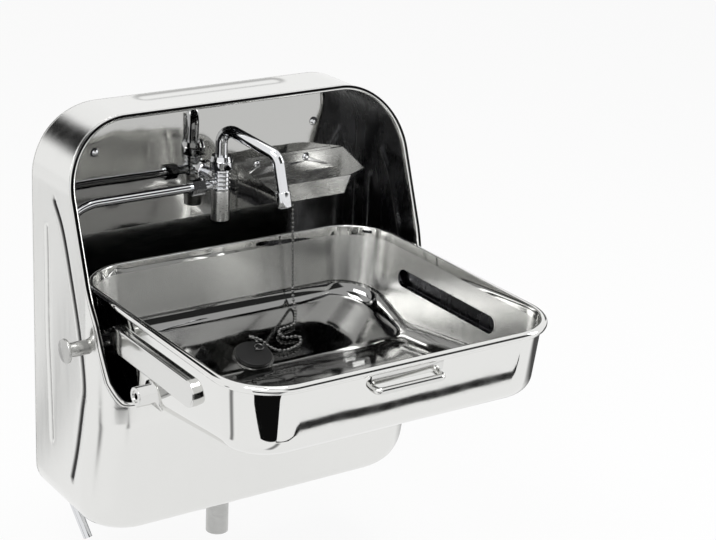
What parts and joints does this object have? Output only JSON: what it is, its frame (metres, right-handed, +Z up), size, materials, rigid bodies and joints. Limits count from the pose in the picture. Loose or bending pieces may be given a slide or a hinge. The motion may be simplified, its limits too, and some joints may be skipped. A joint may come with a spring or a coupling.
{
  "type": "folding sink",
  "caption": "Folding stainless caravan sink: arched wall hood with a hinged tray-like bowl, swivel spout tap, soap dish, plug on a bead chain and a sprung latch.",
  "frame": {"origin": "on the wall plane, midway between the screw holes of the two wall tabs", "axes": "+X to the right as seen by the user, +Y into the wall, +Z up; the bowl comes out towards -Y"},
  "size_m": [0.4261, 0.4075, 0.5071],
  "materials": {
    "satin_stainless": "drawn stainless sheet, softly polished",
    "plain_stainless": "bright stainless",
    "mirror_stainless": "mirror-polished stainless sheet",
    "polished_stainless": "polished drawn stainless",
    "chromed_brass": "bright chrome plate on brass",
    "satin_chrome": "satin chrome plate on brass",
    "chromed_pipe": "chrome-plated copper pipe",
    "fixings": "bright dome screws",
    "spring_steel": "spring wire",
    "bead_chain": "bright bead chain and wire",
    "plug_rubber": "black rubber"
  },
  "bodies": {
    "hood": {"housing_shell": "satin_stainless", "back_plate": "plain_stainless", "mirror_panel": "mirror_stainless", "mirror_panel_screws": "fixings", "soap_dish": "mirror_stainless", "soap_dish_screws": "fixings", "tap_body": "chromed_brass", "tap_wall_flange": "chromed_brass", "tap_lock_nut": "chromed_brass", "tap_collar_nut": "chromed_brass", "supply_union_nut": "chromed_brass", "supply_pipe": "chromed_pipe", "drain_outlet": "plain_stainless", "drain_locknut": "plain_stainless", "latch_barrel": "satin_chrome", "latch_locknut": "satin_chrome", "latch_spring": "spring_steel", "hinge_fixed_leaf": "plain_stainless", "hinge_pin": "plain_stainless", "chain_eyelet": "bead_chain", "chain_hanging": "bead_chain"},
    "spout": {"tap_spout": "chromed_brass", "spout_outlet": "chromed_brass"},
    "handle": {"tap_handle": "satin_chrome"},
    "latch": {"latch_knob": "satin_chrome", "latch_pin": "plain_stainless"},
    "bowl": {"bowl_pan": "polished_stainless", "overflow_channel_left": "plain_stainless", "overflow_channel_right": "plain_stainless", "hinge_moving_leaf": "plain_stainless", "closed_strike": "plain_stainless", "open_strike": "plain_stainless", "handle_plate": "plain_stainless", "handle_rod": "plain_stainless", "bowl_drain_ring": "plain_stainless", "chain_lying": "bead_chain"},
    "plug": {"sink_plug": "plug_rubber", "plug_eye": "bead_chain", "plug_ring": "bead_chain"}
  },
  "joints": [
    {"name": "bowl_fold", "type": "hinge", "parent": "hood", "child": "bowl", "pos_m": [0, -0.156, 0.1715], "axis": [-1, 0, 0], "range_deg": [0, 90], "deforming": ["chain_hanging", "chain_lying"]},
    {"name": "spout_swivel", "type": "hinge", "parent": "hood", "child": "spout", "pos_m": [0, -0.04, 0.36], "axis": [0, 0, 1], "range_deg": [-100, 25]},
    {"name": "tap_handle_turn", "type": "hinge", "parent": "hood", "child": "handle", "pos_m": [0, -0.04, 0.32], "axis": [0, 0, 1], "range_deg": [0, 180]},
    {"name": "latch_pull", "type": "slide", "parent": "hood", "child": "latch", "axis": [-1, 0, 0], "range_m": [0, 0.008], "stiffness_N_per_m": 400, "springref_m": -0.005, "deforming": ["latch_spring"]},
    {"name": "plug_lift", "type": "slide", "parent": "bowl", "child": "plug", "axis": [0, -0.3134, 0.9496], "range_m": [0, 0.06]}
  ]
}
